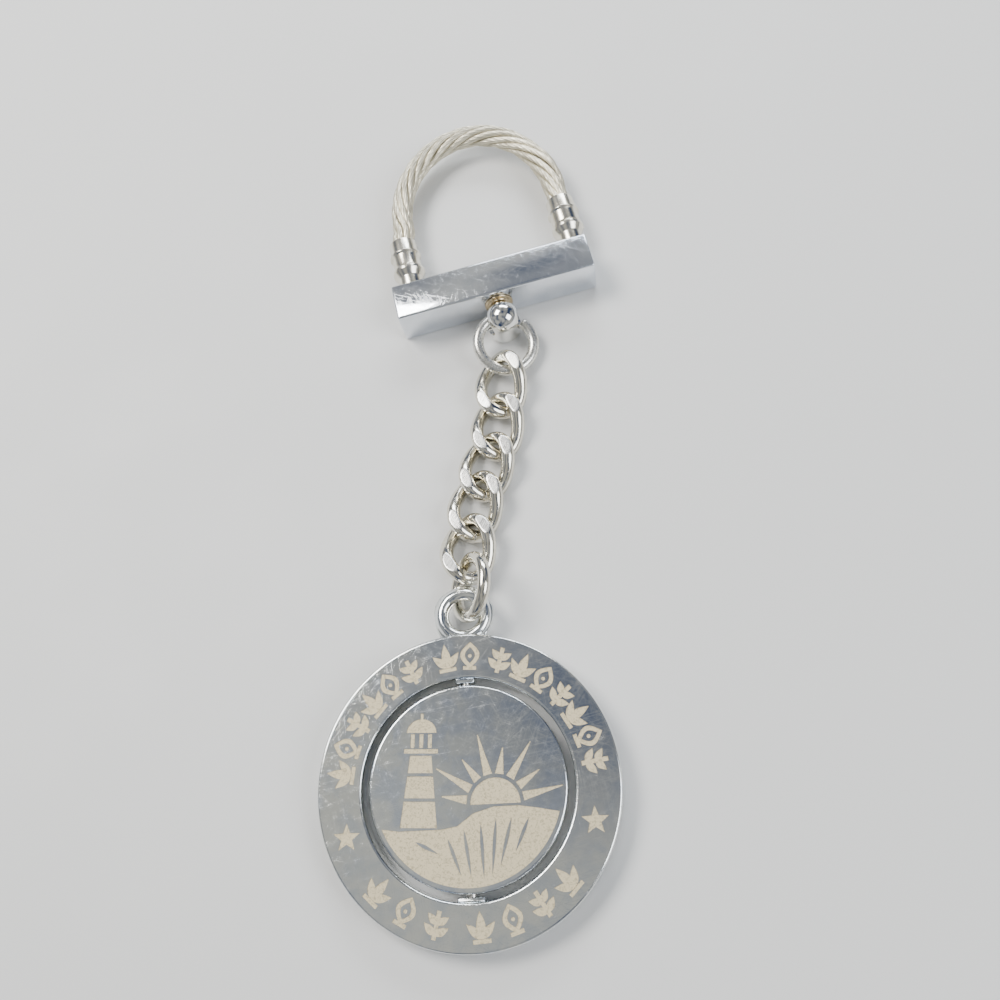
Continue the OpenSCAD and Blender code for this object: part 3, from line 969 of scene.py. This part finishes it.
def foot_corners(seat):
    """Stud, neck, cone and the crisp flange, up to the sleeve."""
    return [
        (STUD_R, -STUD_L, 0.15), (STUD_R, seat, 0), (NECK_R, seat, 0.05), (NECK_R, FLANGE_Z - 1.45, 0.3),
        (FLANGE_R, FLANGE_Z - 0.5, 0.08), (FLANGE_R, FLANGE_Z, 0.08),
    ]


def lathed_fitting(name, corners, low, high, u, body):
    """A fitting turned from corners, between its ends on the axis, that stands on the bar's back."""
    outline = [(0, low)] + filleted(corners, 4) + [(0, high)]
    made = mesh_object(name + "_turned", lathe(Shape(), outline), back_face_frame(u), [FITTING_NICKEL])
    sharpen(made, 40)
    return hand_over(made, body, name)


def left_ferrule():
    corners = foot_corners(0) + [(SLEEVE_R, FOOT_TOP_Z, 0.12)] + sleeve_corners()
    return lathed_fitting("left_ferrule", corners, -STUD_L, RIM_Z - ROPE_DEPTH, LEFT_U, "grip")


def right_ferrule():
    """The same sleeve on a headed spigot, which the release collar turns on."""
    top = FOOT_TOP_Z + FACE_GAP
    head = top - SPIGOT_L
    low = head - SPIGOT_HEAD_T
    spigot = [(SPIGOT_HEAD_R, low, 0.05), (SPIGOT_HEAD_R, head, 0), (SPIGOT_R, head, 0), (SPIGOT_R, top, 0),
              (SLEEVE_R, top, 0.06)]
    corners = spigot + sleeve_corners()
    return lathed_fitting("right_ferrule", corners, low, RIM_Z - ROPE_DEPTH, RIGHT_U, "grip")


def release_collar():
    """Flange, cone and stud, hollow for the ferrule's headed spigot."""
    top = FOOT_TOP_Z
    head = top + FACE_GAP - SPIGOT_L
    bore_r, head_bore_r = SPIGOT_R + RUN_GAP, SPIGOT_HEAD_R + RUN_GAP
    floor_z = head - SPIGOT_HEAD_T - FACE_GAP
    hollow = [(SLEEVE_R, top, 0.1), (bore_r, top, 0.04), (bore_r, head + FACE_GAP, 0),
              (head_bore_r, head + FACE_GAP, 0), (head_bore_r, floor_z, 0)]
    corners = foot_corners(FACE_GAP) + hollow
    return lathed_fitting("release_collar", corners, -STUD_L, floor_z, RIGHT_U, "collar")


def rope_route():
    """The rope's centre line in bar axes, from the left sleeve over the arch to the right one."""
    rim_v = BAR[1] / 2 + RIM_Z
    legs = {}
    for foot, arch in ((LEFT_U, LOOP_U - LOOP_HALF_SPAN), (RIGHT_U, LOOP_U + LOOP_HALF_SPAN)):
        s = np.linspace(0, 1, 30)
        legs[foot] = np.stack([arch + (foot - arch) * s ** 2 * (3 - 2 * s), LEG_V - (LEG_V - rim_v) * s], 1)
    a = np.linspace(math.pi, 0, 200)
    arch_u = LOOP_U + LOOP_HALF_SPAN * np.cos(a) + LOOP_LEAN * np.sin(a) ** 2
    arch = np.stack([arch_u, LEG_V + LOOP_RISE * np.sin(a)], 1)
    ends = [[[u, rim_v - ROPE_DEPTH + 0.1]] for u in (LEFT_U, RIGHT_U)]
    whole = np.concatenate([ends[0], legs[LEFT_U][::-1], arch[1:-1], legs[RIGHT_U], ends[1]])
    run = np.concatenate([[0], np.cumsum(np.linalg.norm(np.diff(whole, axis=0), axis=1))])
    even = np.linspace(0, run[-1], int(run[-1] / ROPE_STEP))
    return even, np.stack([np.interp(even, run, whole[:, k]) for k in (0, 1)], 1)


def strand_section(lobes, radius, points_per_lobe=5):
    """Reaches of a bundle of wires round a strand, as angle and reach."""
    wire = radius * math.sin(math.pi / lobes) / (1 + math.sin(math.pi / lobes))
    centre = radius - wire
    section = []
    for k in range(lobes * points_per_lobe):
        angle = 2 * math.pi * k / (lobes * points_per_lobe)
        off = (angle + math.pi / lobes) % (2 * math.pi / lobes) - math.pi / lobes
        reach = centre * math.cos(off) + math.sqrt(max(0.0, wire ** 2 - (centre * math.sin(off)) ** 2))
        section.append((angle, reach))
    return section


def key_cable():
    """Wire rope: strands laid round a core strand, loosened at the right shoulder."""
    random.seed(9)
    run, flat = rope_route()
    ahead = np.gradient(flat, axis=0)
    ahead /= np.linalg.norm(ahead, axis=1)[:, None]
    route = np.stack([flat[:, 0], flat[:, 1], 0 * run], 1)
    outward = np.stack([-ahead[:, 1], ahead[:, 0], 0 * run], 1)
    up = np.array([0, 0, 1.0])
    loose = np.exp(-((run / run[-1] - LOOSE_AT) / LOOSE_SPAN) ** 2)
    shape = Shape()
    for strand in range(-1, STRANDS):
        if strand < 0:
            lay_r, strand_r, spread = 0.0, ROPE_R - 2 * STRAND_R, 0.0
        else:
            lay_r, strand_r, spread = ROPE_R - STRAND_R, STRAND_R, random.uniform(0.25, 1.0)
        wander = 0.05 * np.sin(run / 6 + strand * 1.7)
        angle = -2 * math.pi * run / STRAND_LAY + 2 * math.pi * strand / STRANDS + wander
        facing = np.clip(np.cos(angle), 0, 1) + 0.25
        bulge = LOOSE_BULGE * loose * spread * facing * (strand >= 0)
        radial = np.cos(angle)[:, None] * outward + np.sin(angle)[:, None] * up
        centre = route + (lay_r + bulge)[:, None] * radial
        along = np.gradient(centre, axis=0)
        along /= np.linalg.norm(along, axis=1)[:, None]
        side = np.cross(along, radial if strand >= 0 else np.broadcast_to(up, radial.shape))
        side /= np.linalg.norm(side, axis=1)[:, None]
        over = np.cross(side, along)
        spin = 2 * math.pi * run / WIRE_LAY + strand
        rings = np.stack([
            centre + reach * (np.cos(a + spin)[:, None] * over + np.sin(a + spin)[:, None] * side)
            for a, reach in strand_section(STRAND_WIRES, strand_r)
        ], 1)
        shape.grid(rings)
    made = mesh_object("key_cable_strands", shape, bar_frame(), [ROPE_STEEL])
    return hand_over(made, "grip", "key_cable")


def dress_cad_nodes():
    """The pieces that keep their CAD shape get their finish."""
    for node in ("swivel_washer", "top_pivot_pin", "bottom_pivot_pin"):
        obj = frame["nodes"][node]
        obj.data.materials.clear()
        obj.data.materials.append(PIN_STEEL)


# ---------- stage ----------

def floor():
    corners = [(x, y, 0) for x, y in box_outline(2 * FLOOR_HALF, 2 * FLOOR_HALF)]
    work = Shape().add(corners, [(0, 1, 2, 3)], False)
    made = mesh_object("floor", work, Matrix.Translation((0, 0, cad_box[0].z / MM)), [pale_floor()])


def area_light(name, at, towards, size, power, colour):
    light = bpy.data.lights.new(name, "AREA")
    light.shape = "RECTANGLE"
    light.size, light.size_y = (s * MM for s in size)
    light.energy = power
    light.color = colour
    obj = bpy.data.objects.new(name, light)
    obj.location = Vector(at) * MM
    obj.rotation_mode = "QUATERNION"
    obj.rotation_quaternion = (Vector(towards) - Vector(at)).to_track_quat("-Z", "Y")
    bpy.context.scene.collection.objects.link(obj)


def studio():
    area_light("key", (-260, 160, 420), (0, 0, 0), (260, 200), 3.2, (1.0, 0.98, 0.94))
    area_light("fill", (320, -120, 300), (0, 0, 0), (240, 240), 1.3, (0.94, 0.97, 1.0))
    area_light("back", (60, 420, 240), (0, 20, 0), (300, 120), 1.6, (0.90, 0.95, 1.0))
    world = bpy.data.worlds.new("studio")
    bpy.context.scene.world = world
    world.use_nodes = True
    tree = world.node_tree
    background = tree.nodes["Background"]
    coordinates = tree.nodes.new("ShaderNodeTexCoord")
    noise = tree.nodes.new("ShaderNodeTexNoise")
    noise.inputs["Scale"].default_value = 2.2
    noise.inputs["Detail"].default_value = 1.0
    ramp = tree.nodes.new("ShaderNodeValToRGB")
    ramp.color_ramp.elements[0].position = 0.38
    ramp.color_ramp.elements[0].color = (0.05, 0.08, 0.17, 1)
    ramp.color_ramp.elements[1].position = 0.62
    ramp.color_ramp.elements[1].color = (0.68, 0.68, 0.64, 1)
    tree.links.new(coordinates.outputs["Generated"], noise.inputs["Vector"])
    tree.links.new(noise.outputs["Fac"], ramp.inputs["Fac"])
    tree.links.new(ramp.outputs["Color"], background.inputs["Color"])
    background.inputs["Strength"].default_value = 0.8


def camera():
    data = bpy.data.cameras.new("camera")
    data.sensor_width = 36
    data.lens = CAMERA_LENS
    data.clip_start = 0.005
    data.clip_end = 10
    obj = bpy.data.objects.new("camera", data)
    obj.matrix_world = axes(Vector(CAMERA_AT) * MM, CAMERA_RIGHT, CAMERA_UP, CAMERA_BACK)
    bpy.context.scene.collection.objects.link(obj)
    bpy.context.scene.camera = obj


camera()
floor()
studio()
grip_bar()
barrel()
stem()
left_ferrule()
right_ferrule()
release_collar()
key_cable()
top_ring()
for number in range(5):
    curb_link(number)
lower_ring()
medal_ring()
spinner_disc()
dress_cad_nodes()
